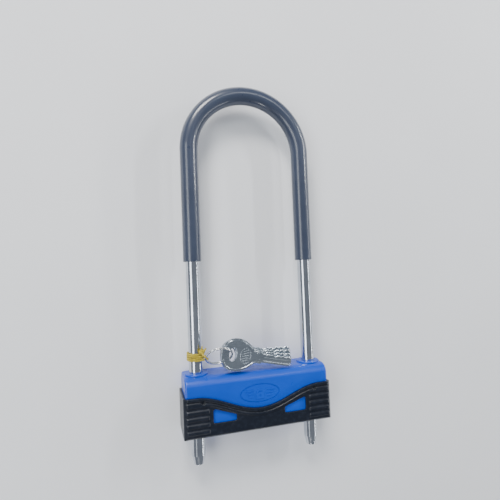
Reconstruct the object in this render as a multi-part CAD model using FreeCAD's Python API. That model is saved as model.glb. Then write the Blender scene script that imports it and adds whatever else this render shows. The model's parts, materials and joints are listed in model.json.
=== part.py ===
"""U lock with a through-leg shackle, a two-bolt crossbar and a bunch of keys tied to one leg.

Row frame: the lock lies on the back of its crossbar. +Z is out of the crossbar's front face,
+Y runs along the legs towards the bend, +X is to the right. The origin is on the surface it
lies on, under the centre of its length and width. All sizes are in millimetres.
"""

import FreeCAD
import Part
import math
import os

V = FreeCAD.Vector
X_DIR, Y_DIR, Z_DIR = V(1, 0, 0), V(0, 1, 0), V(0, 0, 1)
SIDES = (("left", -1), ("right", 1))

# ---- driving dimensions -------------------------------------------------------------------
ROD_R = 6.0  # shackle rod radius
LEG_X = 52.5  # half the distance between the leg axes
AXIS_Z = 17.0  # height of the leg axes and of the lock cylinder's axis
LENGTH = 332.5  # leg tips to the outside of the sleeved bend
SLEEVE_R = 8.0
SLEEVE_END_Y = (7.1, 5.0)  # left leg, right leg

TIP_Y = -LENGTH / 2
BEND_Y = LENGTH / 2 - SLEEVE_R - LEG_X
TIP_TAPER = 8.0
TIP_R = 4.3

BAR_TOP_Y = -90.0
BAR_BOTTOM_Y = -139.0
BAR_X = 64.0  # half length of the casing
BAR_FRONT_Z = 33.0
SPLIT_Z = 8.0  # where the front tray meets the back lid
WALL = 2.4
BAND_Y = 6.5  # the curved band along the top of the front face
BAND_Z = 8.5

EDGE_R = 1.8  # the casing's soft edges
SLIDE_GAP = 0.15  # between the legs and what guides them
FIT_GAP = 0.05  # between pieces that are assembled and stay put
PAST_LOW_Y, PAST_HIGH_Y = -150.0, -80.0  # beyond the crossbar on both sides, for through cuts

GUIDE_NECK_R = 8.4
GUIDE_RIM_R = 10.3
GUIDE_RIM_DEPTH = 1.4

# badge on the casing's front
BADGE_Y = -108.2
BADGE_W, BADGE_H = 17.8, 7.9  # half width and half height of the oval
BADGE_GROOVE_W = 0.9
BADGE_GROOVE_DEPTH = 0.5
BADGE_RAISED = 0.45

# screws and pins
SCREW_R = 1.5
SCREW_HEAD_R = 3.0
SCREW_HEAD_Z = 2.2  # how deep the heads' recesses go
SCREW_CLEARANCE = 0.2
SCREW_X, SCREW_YS = 32.0, (-99.0, -130.0)
COVER_SCREW_X, COVER_SCREW_YS = 42.0, (-99.2, -114.4)
PLATE_THICK = 2.0  # of the cover plate
RIVET_R = 1.6
LOCK_PIN_R = 1.5
LOCK_PIN_X = 9.7
LOCK_PIN_Y = -126.0

# lock body, bolts and cam
BODY_X = 61.0
BODY_BACK_Z = 4.0
BODY_FRONT_Z = 28.0
BODY_BOTTOM_Y = -135.5
BODY_TOP_Y = -94.0
BOLT_Y = -106.3
BOLT_HALF = 4.0
BOLT_INNER_X = 0.6
BOLT_TIP_X = 45.7
BOLT_TRAVEL = 5.0
CAM_TURN = math.pi / 2
CAM_RISE = BOLT_TRAVEL / CAM_TURN  # millimetres of bolt travel for each radian
FOLLOWER_R = 1.4
FOLLOWER_X = 3.6
CAM_R = 11.0
CAM_Y = (-113.6, -110.6)
NOTCH_DEPTH = 4.6
NOTCH_GAP = 0.35  # between a bolt and the ends of its notch
CAM_ROOM = 0.4  # round the cam disc

# lock cylinder
HOUSING_R = 10.2
HOUSING_Y = (-138.7, -115.0)
PLUG_R = 6.0
PLUG_FACE_Y = -138.2
KEYWAY_X = 1.15
KEYWAY_Z = (-4.2, 4.6)
PLUG_NECK_R = 4.0
PLUG_GAP = 0.05
TANG_X, TANG_Z = 0.9, 2.8  # half sizes of the flat end that turns the cam
CLIP_R = 5.8
CLIP_SEAT_R = 3.4
PIN_R = 1.2
PIN_GAP = 0.1
PIN_PITCH = 3.7
PIN_COUNT = 5
FIRST_PIN_Y = -133.6
KEY_PIN_LENGTHS = (2.6, 1.9, 2.9, 2.2, 2.5)
DRIVER_LENGTH = 1.7
SHEAR_GAP = 0.1  # between the drivers and the plug

# dust cover
COVER_PIVOT_X = 17.0
COVER_R = 12.0
COVER_Y = (-140.9, -139.15)
COVER_ARM_HALF = 4.5

# bumper
BUMPER_X = 66.0
BUMPER_Z = 35.0
WAVE_END_Y = -105.2
WAVE_DROP = 14.6
WAVE_X = 56.0
RIB_COUNT = 5
FIRST_RIB_Y = -111.8
RIB_PITCH = 5.35
RIB_X = 45.0  # where the ribs start, from the middle
RIB_HALF = 1.35
RIB_RAISED = 1.0
TOP_LIP, TOP_LIP_RAISED = 2.6, 1.2
LOW_LIP, LOW_LIP_RAISED = 1.9, 0.8
LOW_LIP_DROP = 4.1
END_SLOPE = 3.2
LOW_SLOPE = 3.2
DIMPLE_AT = (49.5, -109.3)
WINDOW = ((41.4, -127.7), (41.4, -115.6), (21.6, -122.6), (21.6, -127.7))

# key bunch
KEY_COUNT = 4
KEY_THICK = 1.8
KEY_PITCH = 2.1
KEY_FAN = (-1.0, -5.0, -9.0, -13.0)  # degrees, rearmost key first
KEY_STAGGER = 0.8
BOW_W, BOW_H = 33.0, 27.4
HOLE_IN = 10.0  # hole centre from the bow's outer edge
HOLE_W, HOLE_H = 6.4, 12.0
BLADE_L, BLADE_W = 32.0, 8.2
RING_R = 11.5
RING_WIRE_R = 0.65
RING_TURN_GAP = 1.2
RING_TILT = 46.0
RING_AT = V(-33.9, -74.3, 28.0)
TIE_R = 0.7
TIE_PITCH = 1.24
TIE_LOOP_R, TIE_LOOP_WIRE_R = 5.2, 0.6
TIE_LOOP_OFF = 2.4  # from the ring wire to the middle of the loop
TIE_KNOT_R = 1.7
KEY_RIM = 2.2
KEY_FIELD_DEPTH = 0.25
KEY_GROOVE_DEPTH = 0.5
KEY_BITES = (1.1, 0.6, 1.3, 0.8, 1.0)
KEY_BITE_PITCH = 4.2
KEY_SHOULDER = 1.1  # how far the stop stands out beyond the blade


# ---- small helpers ------------------------------------------------------------------------
def box(x0, x1, y0, y1, z0, z1):
    return Part.makeBox(x1 - x0, y1 - y0, z1 - z0, V(x0, y0, z0))


def rod_y(r, x, z, y0, y1):
    return Part.makeCylinder(r, y1 - y0, V(x, y0, z), Y_DIR)


def through_y(r, x):
    """A rod at the axis height that passes through the whole crossbar, to cut with."""
    return rod_y(r, x, AXIS_Z, PAST_LOW_Y, PAST_HIGH_Y)


def rod_z(r, x, y, z0, z1):
    return Part.makeCylinder(r, z1 - z0, V(x, y, z0), Z_DIR)


def joined(shapes):
    """One clean solid from touching shapes."""
    first, rest = shapes[0], shapes[1:]
    return (first.fuse(rest) if rest else first).removeSplitter()


def polygon(points):
    return Part.Face(Part.makePolygon(points + [points[0]]))


def curve_through(points):
    curve = Part.BSplineCurve()
    curve.interpolate(points)
    return curve.toShape()


def prism_z(points_xy, z0, z1):
    """A straight-sided prism along Z."""
    return polygon([V(x, y, z0) for x, y in points_xy]).extrude(V(0, 0, z1 - z0))


def round_edges(shape, radius, wanted):
    """Fillets the edges that the test picks, or leaves the shape as it is if there are none."""
    edges = [e for e in shape.Edges if wanted(e)]
    return shape.makeFillet(radius, edges) if edges else shape


def along(edge, direction):
    """True for a straight edge that runs along the direction."""
    if not isinstance(edge.Curve, Part.Line):
        return False
    return abs(edge.Curve.Direction.dot(direction)) > 0.999


def mirrored_x(shape):
    return shape.mirror(V(0, 0, 0), X_DIR)


# ---- shackle ------------------------------------------------------------------------------
def u_tube(radius, left_end_y, right_end_y):
    """Two legs from their ends to the bend, and the half-round bend between them."""
    bend = Part.makeTorus(LEG_X, radius, V(0, 0, 0), Z_DIR, 0, 360, 180)
    bend.translate(V(0, BEND_Y, AXIS_Z))
    left = rod_y(radius, -LEG_X, AXIS_Z, left_end_y, BEND_Y)
    right = rod_y(radius, LEG_X, AXIS_Z, right_end_y, BEND_Y)
    return joined([bend, left, right])


def shackle():
    """The steel rod, with tapered tips and a notch on the inner side of each leg."""
    rod = u_tube(ROD_R, TIP_Y + TIP_TAPER, TIP_Y + TIP_TAPER)
    for _, side in SIDES:
        tip = Part.makeCone(
            ROD_R, TIP_R, TIP_TAPER, V(side * LEG_X, TIP_Y + TIP_TAPER, AXIS_Z), V(0, -1, 0)
        )
        rod = rod.fuse(round_edges(tip, 0.8, lambda e: e.BoundBox.YMax < TIP_Y + 0.1))
    rod = rod.removeSplitter()
    half = BOLT_HALF + NOTCH_GAP
    inner = LEG_X - ROD_R
    notch = box(inner - 1, inner + NOTCH_DEPTH, BOLT_Y - half, BOLT_Y + half, 0, BAR_FRONT_Z)
    return rod.cut([notch, mirrored_x(notch)])


def sleeve():
    """The soft tube over the bend and the upper legs, a little longer on the right leg."""
    tube = u_tube(SLEEVE_R, *SLEEVE_END_Y)
    tube = round_edges(tube, 0.5, lambda e: e.Closed and e.BoundBox.YMax < max(SLEEVE_END_Y) + 0.01)
    return tube.cut(u_tube(ROD_R + FIT_GAP, *[y - 1 for y in SLEEVE_END_Y]))


# ---- casing -------------------------------------------------------------------------------
def casing_outside():
    """The whole casing as one solid block, with soft edges all round."""
    band_z = BAR_FRONT_Z - BAND_Z
    band_r = (BAND_Y ** 2 + BAND_Z ** 2) / (2 * BAND_Y)
    turn = math.asin(BAND_Z / band_r) / 2
    half_way = (BAR_TOP_Y - band_r * (1 - math.cos(turn)), band_z + band_r * math.sin(turn))
    profile = [
        (BAR_TOP_Y - BAND_Y, BAR_FRONT_Z),
        (BAR_BOTTOM_Y + 2.5, BAR_FRONT_Z),
        (BAR_BOTTOM_Y, BAR_FRONT_Z - 2.5),
        (BAR_BOTTOM_Y, 3.0),
        (BAR_BOTTOM_Y + 3.0, 0.0),
        (BAR_TOP_Y - 4.0, 0.0),
        (BAR_TOP_Y, 4.0),
        (BAR_TOP_Y, band_z),
    ]
    corners = [V(-BAR_X, y, z) for y, z in profile]
    edges = [Part.makeLine(a, b) for a, b in zip(corners, corners[1:])]
    edges.append(Part.Arc(corners[-1], V(-BAR_X, *half_way), corners[0]).toShape())
    block = Part.Face(Part.Wire(edges)).extrude(V(2 * BAR_X, 0, 0))

    def is_corner(edge):
        smooth_seam = along(edge, X_DIR) and abs(edge.BoundBox.ZMax - band_z) < 0.01
        return not (smooth_seam and edge.BoundBox.YMax > BAR_TOP_Y - 1)

    return round_edges(block, EDGE_R, is_corner)


def casing_cavity():
    """The space inside, with a sloping corner behind the curved band."""
    top_y, front_z = BAR_TOP_Y - WALL, BAR_FRONT_Z - WALL
    low_y = BAR_BOTTOM_Y + WALL
    profile = [
        (top_y, WALL),
        (top_y, front_z - 3.5),
        (top_y - 4.1, front_z),
        (low_y, front_z),
        (low_y, WALL),
    ]
    length = 2 * (BAR_X - WALL)
    return polygon([V(-length / 2, y, z) for y, z in profile]).extrude(V(length, 0, 0))


def badge_cuts():
    """An oval groove round the badge field."""
    centre = V(0, BADGE_Y, BAR_FRONT_Z - BADGE_GROOVE_DEPTH)
    field_w, field_h = BADGE_W - BADGE_GROOVE_W, BADGE_H - BADGE_GROOVE_W
    outer = Part.Face(Part.Wire(Part.Ellipse(centre, BADGE_W, BADGE_H).toShape()))
    inner = Part.Face(Part.Wire(Part.Ellipse(centre, field_w, field_h).toShape()))
    return outer.cut(inner).extrude(V(0, 0, 2))


def badge_marks():
    """A plain padlock sign with three short bars on each side of it, all slightly raised."""
    z0, z1 = BAR_FRONT_Z - 0.2, BAR_FRONT_Z + BADGE_RAISED
    y = BADGE_Y - 2.2
    body = round_edges(box(-3.6, 3.6, y - 2.6, y + 2.6, z0, z1), 0.8, lambda e: along(e, Z_DIR))
    hole = rod_z(0.9, 0, y, z0, z1 + 1)
    hoop = rod_z(2.7, 0, y + 2.6, z0, z1).cut(rod_z(1.7, 0, y + 2.6, z0, z1))
    hoop = hoop.cut(box(-4, 4, y - 2, y + 2.6, z0, z1))
    marks = [body.cut(hole).fuse(hoop)]
    for step in range(3):
        low = BADGE_Y + 2.0 - 2.6 * step
        bar = box(5.6, 13.2 - 1.6 * step, low, low + 1.2, z0, z1)
        marks += [bar, mirrored_x(bar)]
    return marks


def housing_opening():
    return rod_y(HOUSING_R + FIT_GAP, 0, AXIS_Z, BAR_BOTTOM_Y - 1, BAR_BOTTOM_Y + 5)


def casing_front():
    tray = casing_outside().cut(box(-99, 99, -199, 0, -1, SPLIT_Z)).cut(casing_cavity())
    for _, side in SIDES:
        tray = tray.cut(through_y(GUIDE_NECK_R + FIT_GAP, side * LEG_X))
    tray = tray.cut(housing_opening())
    rivet_hole = rod_y(RIVET_R + FIT_GAP, COVER_PIVOT_X, AXIS_Z, BAR_BOTTOM_Y - 1, BAR_BOTTOM_Y + 5)
    tray = tray.cut(rivet_hole).cut(badge_cuts())
    return joined([tray] + badge_marks())


def screw_places():
    return [(x, y) for x in (-SCREW_X, SCREW_X) for y in SCREW_YS]


def casing_back():
    lid = casing_outside().cut(box(-99, 99, -199, 0, SPLIT_Z, 60))
    lid = lid.cut([casing_cavity(), housing_opening()])
    pads = []
    for x, y in screw_places():
        pads.append(rod_z(5.5, x, y, WALL - 0.5, BODY_BACK_Z))
    lid = joined([lid] + pads)
    for x, y in screw_places():
        lid = lid.cut(rod_z(SCREW_R + SCREW_CLEARANCE, x, y, -1, SPLIT_Z))
        lid = lid.cut(rod_z(SCREW_HEAD_R + SCREW_CLEARANCE, x, y, -1, SCREW_HEAD_Z))
    return lid


def leg_guide(side, at_top):
    """A plastic bush in the casing wall, with a rim outside and a bore that the leg runs in."""
    wall_y = BAR_TOP_Y if at_top else BAR_BOTTOM_Y
    out = 1 if at_top else -1
    ends = sorted((wall_y - out * (WALL + 0.2), wall_y))
    neck = rod_y(GUIDE_NECK_R, side * LEG_X, AXIS_Z, *ends)
    outer_y = wall_y + out * GUIDE_RIM_DEPTH
    rim_ends = sorted((wall_y, outer_y))
    rim = rod_y(GUIDE_RIM_R, side * LEG_X, AXIS_Z, *rim_ends)
    rim = round_edges(rim, 0.9, lambda e: e.Closed and abs(e.BoundBox.YMax - outer_y) < 0.01)
    bush = joined([neck, rim])
    return bush.cut(through_y(ROD_R + SLIDE_GAP, side * LEG_X))


def casing_screws():
    """Four pan-head screws from the back lid into the lock body."""
    screws = []
    for x, y in screw_places():
        head = rod_z(SCREW_HEAD_R, x, y, 0.3, SCREW_HEAD_Z)
        long, narrow, deep = 2.2, 0.35, 1.2
        head = head.cut(box(x - long, x + long, y - narrow, y + narrow, 0, deep))
        head = head.cut(box(x - narrow, x + narrow, y - long, y + long, 0, deep))
        screws.append(joined([head, rod_z(SCREW_R, x, y, SCREW_HEAD_Z, 11.0)]))
    return Part.makeCompound(screws)


# ---- bumper -------------------------------------------------------------------------------
def wave_y(x):
    """Height of the bumper's upper edge: level at the ends, dipping in the middle."""
    share = min(1.0, abs(x) / WAVE_X)
    return WAVE_END_Y - WAVE_DROP * 0.5 * (1 + math.cos(math.pi * share))


def under_wave(drop, z0, z1, depth=None):
    """Everything under the wave lowered by drop, or a band of the given depth along it."""
    steps = 12
    xs = [WAVE_X * (k / steps - 1) for k in range(2 * steps + 1)]
    top = [V(x, wave_y(x) - drop, z0) for x in xs]
    level = wave_y(WAVE_X) - drop
    corners = [V(-BUMPER_X, level, z0), top[0], top[-1], V(BUMPER_X, level, z0)]
    edges = [
        Part.makeLine(corners[0], corners[1]),
        curve_through(top),
        Part.makeLine(corners[2], corners[3]),
    ]
    if depth is None:
        low = [V(BUMPER_X, BAR_BOTTOM_Y, z0), V(-BUMPER_X, BAR_BOTTOM_Y, z0)]
        edges += [Part.makeLine(corners[3], low[0]), Part.makeLine(*low)]
        edges.append(Part.makeLine(low[1], corners[0]))
    else:
        down = V(0, -depth, 0)
        lower = [Part.makeLine(corners[3], corners[3] + down)]
        lower.append(Part.makeLine(corners[3] + down, corners[2] + down))
        lower.append(curve_through([p + down for p in reversed(top)]))
        lower.append(Part.makeLine(corners[1] + down, corners[0] + down))
        lower.append(Part.makeLine(corners[0] + down, corners[0]))
        edges += lower
    face = Part.Face(Part.Wire(edges))
    return face.extrude(V(0, 0, z1 - z0))


def bumper_window():
    """A three-sided window that shows the casing, with soft corners."""
    cut = prism_z(WINDOW, BAR_FRONT_Z - 1, BUMPER_Z + 5)
    return round_edges(cut, 1.3, lambda e: along(e, Z_DIR))


def bumper_limits():
    """The block that the bumper is trimmed to: sloping ends and a sloping lower edge."""
    top = BUMPER_Z + TOP_LIP_RAISED
    x, slope = BUMPER_X, END_SLOPE
    right = [(x, -20), (x, top - slope), (x - slope, top)]
    ends = right + [(-px, pz) for px, pz in reversed(right)]
    block = polygon([V(px, BAR_BOTTOM_Y, pz) for px, pz in ends]).extrude(V(0, 60, 0))
    block = round_edges(block, 1.6, lambda e: along(e, Y_DIR) and e.BoundBox.ZMin > 20)
    low = LOW_SLOPE
    y0, y1 = BAR_BOTTOM_Y - 1, BAR_BOTTOM_Y + low + 1
    corner = [(y0, top + 1), (y1, top + 1), (y0, top - low - 1)]
    wedge = polygon([V(-x - 9, y, z) for y, z in corner]).extrude(V(2 * x + 18, 0, 0))
    return block.cut(wedge)


def bumper():
    """A shell over the casing's lower part, with two raised lips along the wave and end ribs."""
    skin = under_wave(0, 1.0, BUMPER_Z)
    low_lip = under_wave(LOW_LIP_DROP, BUMPER_Z - 1, BUMPER_Z + LOW_LIP_RAISED, LOW_LIP)
    top_lip = under_wave(0, BUMPER_Z - 1, BUMPER_Z + TOP_LIP_RAISED, TOP_LIP)
    whole = skin.fuse([top_lip, low_lip])
    for step in range(RIB_COUNT):
        y = FIRST_RIB_Y - RIB_PITCH * step
        top = BUMPER_Z + RIB_RAISED
        rib = box(RIB_X, BUMPER_X, y - RIB_HALF, y + RIB_HALF, BUMPER_Z - 1, top)
        whole = whole.fuse([rib, mirrored_x(rib)])
    dimple = rod_z(1.7, DIMPLE_AT[0], DIMPLE_AT[1], BUMPER_Z - 0.7, BUMPER_Z + 5)
    inside = box(-BAR_X, BAR_X, BAR_BOTTOM_Y, PAST_HIGH_Y, -1, BAR_FRONT_Z)
    whole = whole.cut([inside, dimple, mirrored_x(dimple)])
    whole = whole.cut([bumper_window(), mirrored_x(bumper_window())])
    return whole.common(bumper_limits()).removeSplitter()


# ---- lock body ----------------------------------------------------------------------------
def cover_screw_places():
    return [(x, y) for x in (-COVER_SCREW_X, COVER_SCREW_X) for y in COVER_SCREW_YS]


def lock_body():
    """The solid body that holds the legs, the bolts, the cam and the lock cylinder."""
    block = box(-BODY_X, BODY_X, BODY_BOTTOM_Y, BODY_TOP_Y, BODY_BACK_Z, BODY_FRONT_Z)
    block = round_edges(block, 1.5, lambda e: along(e, Z_DIR))
    cuts = [through_y(ROD_R + SLIDE_GAP, side * LEG_X) for _, side in SIDES]
    seat_end = HOUSING_Y[1]
    cuts.append(rod_y(HOUSING_R + FIT_GAP, 0, AXIS_Z, PAST_LOW_Y, seat_end))
    room = CAM_R + CAM_ROOM
    cuts.append(rod_y(room, 0, AXIS_Z, seat_end - 1, CAM_Y[1] + 0.3))
    cuts.append(box(-room, room, seat_end, CAM_Y[1] + 0.3, AXIS_Z, 40))
    half = BOLT_HALF + 0.1
    reach = LEG_X - ROD_R + 2
    cuts.append(box(-reach, reach, BOLT_Y - half, BOLT_Y + half, AXIS_Z - half, 40))
    for x, y in screw_places():
        cuts.append(rod_z(SCREW_R, x, y, BODY_BACK_Z - 1, 12))
    for x, y in cover_screw_places():
        cuts.append(rod_z(SCREW_R, x, y, 20, 40))
    cuts.append(rod_z(LOCK_PIN_R, LOCK_PIN_X, LOCK_PIN_Y, 0, 40))
    cuts.append(rod_y(RIVET_R, COVER_PIVOT_X, AXIS_Z, PAST_LOW_Y, BODY_BOTTOM_Y + 6))
    return block.cut(cuts)


def body_cover():
    """The plate that closes the bolt channel, with a rib that keeps the bolts down."""
    plate = box(-47.0, 47.0, -118.0, -96.2, BODY_FRONT_Z, BODY_FRONT_Z + PLATE_THICK)
    plate = round_edges(plate, 3.0, lambda e: along(e, Z_DIR))
    rib = box(
        -45.9, 45.9, BOLT_Y - BOLT_HALF, BOLT_Y + BOLT_HALF,
        AXIS_Z + BOLT_HALF + 0.15, BODY_FRONT_Z,
    )
    cover = joined([plate, rib])
    for x, y in cover_screw_places():
        cover = cover.cut(rod_z(SCREW_R + SCREW_CLEARANCE, x, y, 20, 40))
        sink = Part.makeCone(1.7, 2.8, 1.3, V(x, y, BODY_FRONT_Z + 0.7), Z_DIR)
        cover = cover.cut(sink)
    return cover


def cover_screws():
    """Four countersunk screws that hold the cover plate."""
    screws = []
    top = BODY_FRONT_Z + PLATE_THICK
    for x, y in cover_screw_places():
        head = Part.makeCone(1.65, 2.7, 1.25, V(x, y, top - 1.3), Z_DIR)
        head = head.cut(box(x - 3, x + 3, y - 0.3, y + 0.3, top - 0.6, top + 1))
        screws.append(joined([head, rod_z(SCREW_R, x, y, 21.0, top - 1.3)]))
    return Part.makeCompound(screws)


def cylinder_lock_pin():
    """A cross pin that stops the lock cylinder from being pulled out."""
    return rod_z(LOCK_PIN_R, LOCK_PIN_X, LOCK_PIN_Y, BODY_BACK_Z + 0.2, BODY_FRONT_Z - 0.2)


# ---- lock cylinder ------------------------------------------------------------------------
def pin_heights():
    """Where the pins stand along the cylinder."""
    return [FIRST_PIN_Y + PIN_PITCH * k for k in range(PIN_COUNT)]


def cylinder_housing():
    """The fixed barrel, with the plug's bore, five pin holes and half of the cross pin's hole."""
    body = rod_y(HOUSING_R, 0, AXIS_Z, *HOUSING_Y)
    body = round_edges(body, 0.5, lambda e: e.Closed and e.BoundBox.YMax < HOUSING_Y[0] + 0.1)
    body = body.cut(through_y(PLUG_R + PLUG_GAP, 0))
    for y in pin_heights():
        body = body.cut(rod_z(PIN_R + PIN_GAP, 0, y, 0, AXIS_Z))
    return body.cut(rod_z(LOCK_PIN_R, LOCK_PIN_X, LOCK_PIN_Y, 0, 40))


def plug():
    """The turning plug: keyway through it, five pin holes, a clip groove and a flat tang."""
    barrel = rod_y(PLUG_R, 0, AXIS_Z, PLUG_FACE_Y, HOUSING_Y[1])
    barrel = round_edges(barrel, 0.4, lambda e: e.Closed and e.BoundBox.YMax < PLUG_FACE_Y + 0.1)
    neck = rod_y(PLUG_NECK_R, 0, AXIS_Z, HOUSING_Y[1], CAM_Y[0] - 0.1)
    tang = box(-TANG_X, TANG_X, CAM_Y[0] - 0.5, CAM_Y[1] - 0.2, AXIS_Z - TANG_Z, AXIS_Z + TANG_Z)
    whole = joined([barrel, neck, tang])
    clip_groove = rod_y(9, 0, AXIS_Z, HOUSING_Y[1] + 0.1, HOUSING_Y[1] + 0.9)
    clip_groove = clip_groove.cut(through_y(CLIP_SEAT_R, 0))
    keyway = box(
        -KEYWAY_X, KEYWAY_X, PLUG_FACE_Y - 1, HOUSING_Y[1] - 1.5,
        AXIS_Z + KEYWAY_Z[0], AXIS_Z + KEYWAY_Z[1],
    )
    whole = whole.cut([clip_groove, keyway])
    for y in pin_heights():
        whole = whole.cut(rod_z(PIN_R + PIN_GAP, 0, y, 0, AXIS_Z + KEYWAY_Z[0] + 1))
    return whole


def key_pins():
    """Five pins in the plug, their outer ends at the shear line."""
    pins = []
    for y, length in zip(pin_heights(), KEY_PIN_LENGTHS):
        start = AXIS_Z - PLUG_R + 0.15
        pin = rod_z(PIN_R, 0, y, start, start + length)
        pins.append(round_edges(pin, 0.5, lambda e: e.Closed and e.BoundBox.ZMin > start + 1))
    return Part.makeCompound(pins)


def driver_pins():
    """Five driver pins in the housing, just clear of the plug."""
    top = AXIS_Z - PLUG_R - SHEAR_GAP
    return Part.makeCompound(
        [rod_z(PIN_R, 0, y, top - DRIVER_LENGTH, top) for y in pin_heights()]
    )


def tumbler_springs():
    """Five coil springs between the driver pins and the wall of the lock body."""
    wire, coil, pitch = 0.15, 0.95, 0.7
    low = AXIS_Z - HOUSING_R + wire + 0.15
    height = AXIS_Z - PLUG_R - SHEAR_GAP - DRIVER_LENGTH - wire - FIT_GAP - low
    springs = []
    for y in pin_heights():
        path = Part.makeHelix(pitch, height, coil)
        start = V(coil, 0, 0)
        section = Part.Wire(Part.Circle(start, Y_DIR, wire).toShape())
        spring = Part.Wire(path).makePipeShell([section], True, True)
        spring.translate(V(0, y, low))
        springs.append(spring)
    return Part.makeCompound(springs)


def plug_clip():
    """A C clip in the plug's groove that keeps the plug in the housing."""
    y0 = HOUSING_Y[1] + 0.15
    ring = rod_y(CLIP_R, 0, AXIS_Z, y0, y0 + 0.7).cut(through_y(CLIP_SEAT_R + FIT_GAP, 0))
    return ring.cut(box(-2.0, 2.0, PAST_LOW_Y, PAST_HIGH_Y, AXIS_Z, AXIS_Z + 9))


def scroll_slot():
    """A spiral slot: its radius grows evenly with angle, so the bolt moves evenly."""
    half = FOLLOWER_R + 0.12
    start, end, steps = -0.06, CAM_TURN + 0.06, 14
    inner, outer, ends = [], [], []
    for k in range(steps + 1):
        angle = start + (end - start) * k / steps
        radius = FOLLOWER_X + CAM_RISE * angle
        out = V(math.cos(angle), 0, math.sin(angle))
        turn = V(-math.sin(angle), 0, math.cos(angle))
        tangent = (out * CAM_RISE + turn * radius).normalize()
        normal = tangent.cross(Y_DIR)
        centre = V(0, CAM_Y[0] - 1, AXIS_Z) + out * radius
        inner.append(centre - normal * half)
        outer.append(centre + normal * half)
        if k in (0, steps):
            ends.append(centre + tangent * (half if k else -half))
    edges = [
        curve_through(inner),
        Part.Arc(inner[-1], ends[1], outer[-1]).toShape(),
        curve_through(list(reversed(outer))),
        Part.Arc(outer[0], ends[0], inner[0]).toShape(),
    ]
    return Part.Face(Part.Wire(edges)).extrude(V(0, 6, 0))


def cam_disc():
    """The disc on the plug's flat end, with a spiral slot for each bolt's pin."""
    disc = rod_y(CAM_R, 0, AXIS_Z, *CAM_Y)
    disc = disc.makeFillet(0.3, [e for e in disc.Edges if e.Closed and len(e.Vertexes) == 1])
    x, z = TANG_X + FIT_GAP, TANG_Z + FIT_GAP
    tang = box(-x, x, PAST_LOW_Y, PAST_HIGH_Y, AXIS_Z - z, AXIS_Z + z)
    slot = scroll_slot()
    other = slot.copy()
    other.rotate(V(0, 0, AXIS_Z), Y_DIR, 180)
    return disc.cut([tang, slot, other])


def bolt(side):
    """A square bolt bar with a softened nose."""
    bar = box(
        BOLT_INNER_X, BOLT_TIP_X, BOLT_Y - BOLT_HALF, BOLT_Y + BOLT_HALF,
        AXIS_Z - BOLT_HALF, AXIS_Z + BOLT_HALF,
    )
    nose = [e for e in bar.Edges if e.BoundBox.XMin > BOLT_TIP_X - 0.1]
    bar = bar.makeChamfer(0.8, nose)
    bar = bar.cut(rod_y(FOLLOWER_R, FOLLOWER_X, AXIS_Z, PAST_LOW_Y, BOLT_Y))
    return bar if side > 0 else mirrored_x(bar)


def follower_pin(side):
    """The pin on a bolt that runs in the cam's slot."""
    return rod_y(FOLLOWER_R, side * FOLLOWER_X, AXIS_Z, CAM_Y[0] + 0.3, BOLT_Y)


# ---- dust cover ---------------------------------------------------------------------------
def dust_cover():
    """A round flap over the keyhole with an arm to its pivot and a small finger tab."""
    disc = rod_y(COVER_R, 0, AXIS_Z, *COVER_Y)
    half = COVER_ARM_HALF
    arm = box(0, COVER_PIVOT_X, COVER_Y[0], COVER_Y[1], AXIS_Z - half, AXIS_Z + half)
    eye = rod_y(half, COVER_PIVOT_X, AXIS_Z, *COVER_Y)
    tab = box(-COVER_R - 2.5, 0, COVER_Y[0], COVER_Y[1], AXIS_Z - 3, AXIS_Z + 3)
    tab = round_edges(tab, 1.5, lambda e: along(e, Y_DIR) and e.BoundBox.XMax < 0)
    flap = joined([disc, arm, eye, tab])
    flap = round_edges(flap, 0.5, lambda e: abs(e.BoundBox.YMax - COVER_Y[0]) < 0.01)
    return flap.cut(through_y(RIVET_R + 0.08, COVER_PIVOT_X))


def cover_rivet():
    """The flap's pivot, from its head outside the flap into the lock body."""
    head = rod_y(3.2, COVER_PIVOT_X, AXIS_Z, COVER_Y[0] - 1.1, COVER_Y[0] - 0.1)
    head = round_edges(head, 0.6, lambda e: e.Closed and e.BoundBox.YMax < COVER_Y[0] - 1)
    shank = rod_y(RIVET_R, COVER_PIVOT_X, AXIS_Z, COVER_Y[0] - 0.1, BODY_BOTTOM_Y + 5)
    return joined([head, shank])


# ---- keys, ring and tie -------------------------------------------------------------------
def ring_direction():
    """The ring's own upward direction: it leans back from the surface."""
    tilt = math.radians(RING_TILT)
    return V(0, math.cos(tilt), math.sin(tilt))


def key_hole_place(index):
    """Where the key's hinge is: on the ring's far side, staggered along the leaning wire."""
    place = index - (KEY_COUNT - 1) / 2
    return RING_AT + V(RING_R, place * KEY_STAGGER, place * KEY_PITCH)


def key_outline(grow=0.0):
    """The bow's rounded outline, wider at the ring end, as two arcs and two curves."""
    half_h, left, right = BOW_H / 2 - grow, -HOLE_IN + grow, BOW_W - HOLE_IN - grow
    upper = [V(left + 4.5, half_h - 2.2, 0), V(left + 11, half_h, 0), V(right - 8, half_h - 3.6, 0)]
    upper.append(V(right, BLADE_W / 2 - grow * 0.3, 0))
    lower = [V(p.x, -p.y, 0) for p in reversed(upper)]
    return Part.Wire([
        curve_through(upper),
        Part.makeLine(upper[-1], lower[0]),
        curve_through(lower),
        Part.Arc(lower[-1], V(left, 0, 0), upper[0]).toShape(),
    ])


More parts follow.
